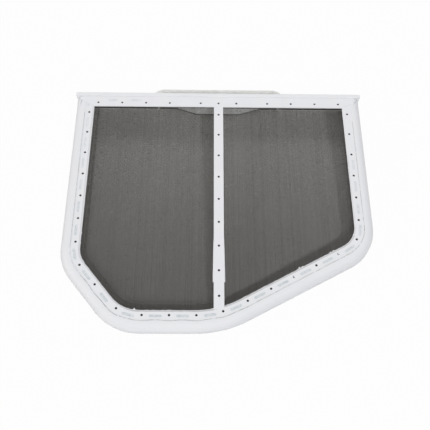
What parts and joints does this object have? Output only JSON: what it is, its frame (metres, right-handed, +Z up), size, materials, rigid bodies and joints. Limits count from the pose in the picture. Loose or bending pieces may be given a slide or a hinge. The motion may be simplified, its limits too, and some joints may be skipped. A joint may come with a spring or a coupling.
{
  "type": "tumble dryer lint filter",
  "caption": "Wedge-shaped moulded frame round a stretched woven screen, with a centre bar, a top plate with a finger pocket and a snap-in grip.",
  "frame": {"origin": "under the middle of the whole filter, on the surface it lies on", "axes": "+X across the filter to the right as seen on its screen, +Y towards the handle, +Z up out of the screen"},
  "size_m": [0.3128, 0.287, 0.0263],
  "materials": {
    "frame_plastic": "smooth white moulding, semi-matte",
    "screen_cloth": "fine dark grey woven screen",
    "handle_plastic": "smooth warm grey moulding"
  },
  "bodies": {
    "root": {"frame": "frame_plastic", "lint_mesh": "screen_cloth", "handle": "handle_plastic"}
  },
  "joints": []
}
